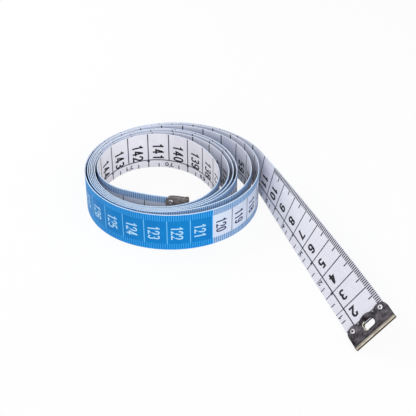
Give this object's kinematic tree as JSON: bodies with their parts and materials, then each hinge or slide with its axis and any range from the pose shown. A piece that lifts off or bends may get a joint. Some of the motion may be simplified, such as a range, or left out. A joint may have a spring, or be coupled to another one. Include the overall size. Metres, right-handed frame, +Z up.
{
  "type": "tape measure",
  "caption": "Flexible cloth tape measure rolled into a loose coil standing on edge, its free end led out and leaning, with a riveted metal clip on each end.",
  "frame": {"origin": "middle of the outline's bottom, on the surface that the coil's edge stands on", "axes": "+Z up, along the tape's width where it stands on edge; +Y away from the viewer of the picture, from the free end's clip towards the coil; +X to the picture's right"},
  "size_m": [0.1268, 0.134, 0.02],
  "materials": {
    "tape": "coated cloth with a satin sheen, printed on both faces",
    "clip": "dark plated sheet, brass-coloured at the fold",
    "rivet": "bright hollow rivet"
  },
  "bodies": {
    "root": {"tape": "tape", "clip_free_end": "clip", "clip_coil_end": "clip", "rivet_free_end_lower": "rivet", "rivet_free_end_upper": "rivet", "rivet_coil_end_lower": "rivet", "rivet_coil_end_upper": "rivet"}
  },
  "joints": []
}
